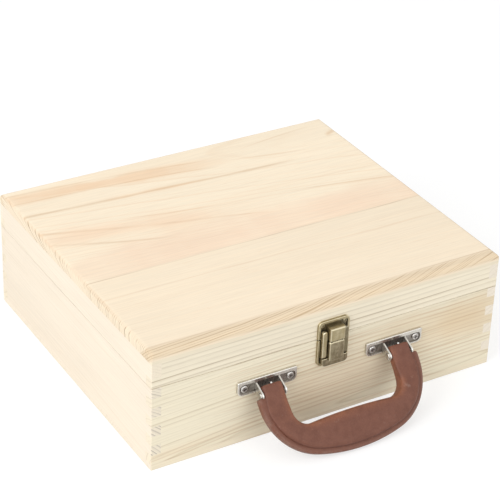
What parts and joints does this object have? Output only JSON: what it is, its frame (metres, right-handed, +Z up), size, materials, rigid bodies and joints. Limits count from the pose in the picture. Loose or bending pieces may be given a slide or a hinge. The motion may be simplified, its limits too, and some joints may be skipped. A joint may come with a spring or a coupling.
{
  "type": "wooden storage box",
  "caption": "Finger-jointed pine storage box with a hinged lid, a bronze toggle latch and a leather-covered carrying handle on the front.",
  "frame": {"origin": "centre of the box's underside, which rests on a table", "axes": "+Z up, +X along the width to the right as seen from the front, the front with the latch and handle looks along -Y"},
  "size_m": [0.34, 0.3538, 0.113],
  "materials": {
    "pine_front_board": "bare planed pine, grain along the width",
    "pine_side_board": "bare planed pine, grain along the depth",
    "pine_lid_board": "bare sanded pine, eased edges",
    "pine_bottom_board": "bare planed pine",
    "antique_bronze": "antiqued bronze plating with rubbed edges",
    "nickel": "bright nickel plating",
    "spring_steel": "plain bent strip",
    "handle_leather": "reddish brown leather, worn",
    "handle_padding": "dense padding, hidden"
  },
  "bodies": {
    "base": {"base_front_wall": "pine_front_board", "base_back_wall": "pine_front_board", "base_left_wall": "pine_side_board", "base_right_wall": "pine_side_board", "base_bottom_board": "pine_bottom_board", "latch_base_plate": "antique_bronze", "latch_base_screws": "antique_bronze", "latch_lever_pin": "antique_bronze", "handle_bracket_left": "nickel", "handle_pivot_pin_left": "nickel", "handle_bracket_screws_left": "nickel", "hinge_base_leaf_left": "antique_bronze", "hinge_pin_left": "antique_bronze", "hinge_base_screws_left": "antique_bronze", "handle_bracket_right": "nickel", "handle_pivot_pin_right": "nickel", "handle_bracket_screws_right": "nickel", "hinge_base_leaf_right": "antique_bronze", "hinge_pin_right": "antique_bronze", "hinge_base_screws_right": "antique_bronze"},
    "lid": {"lid_front_wall": "pine_front_board", "lid_back_wall": "pine_front_board", "lid_left_wall": "pine_side_board", "lid_right_wall": "pine_side_board", "lid_top_front_board": "pine_lid_board", "lid_top_rear_board": "pine_lid_board", "latch_catch_plate": "antique_bronze", "latch_catch_screws": "antique_bronze", "hinge_lid_leaf_left": "antique_bronze", "hinge_lid_screws_left": "antique_bronze", "hinge_lid_leaf_right": "antique_bronze", "hinge_lid_screws_right": "antique_bronze"},
    "handle": {"handle_core_strip": "spring_steel", "handle_padding": "handle_padding", "handle_cover": "handle_leather"},
    "latch_lever": {"latch_lever": "antique_bronze"},
    "latch_bail": {"latch_bail": "antique_bronze", "latch_bail_pin": "antique_bronze"}
  },
  "joints": [
    {"name": "lid_hinge", "type": "hinge", "parent": "base", "child": "lid", "pos_m": [0, 0.1494, 0.0808], "axis": [-1, 0, 0], "range_deg": [0, 100]},
    {"name": "handle_swing", "type": "hinge", "parent": "base", "child": "handle", "pos_m": [0, -0.1575, 0.05], "axis": [-1, 0, 0], "range_deg": [-41.8, 63.2]},
    {"name": "latch_lever_turn", "type": "hinge", "parent": "base", "child": "latch_lever", "pos_m": [0, -0.1533, 0.0782], "axis": [-1, 0, 0], "range_deg": [0, 95]},
    {"name": "latch_bail_turn", "type": "hinge", "parent": "latch_lever", "child": "latch_bail", "pos_m": [0, -0.1503, 0.0655], "axis": [1, 0, 0], "range_deg": [0, 95]}
  ],
  "couplings": [
    {"joint": "latch_bail_turn", "follows": "latch_lever_turn", "ratio": 1}
  ]
}
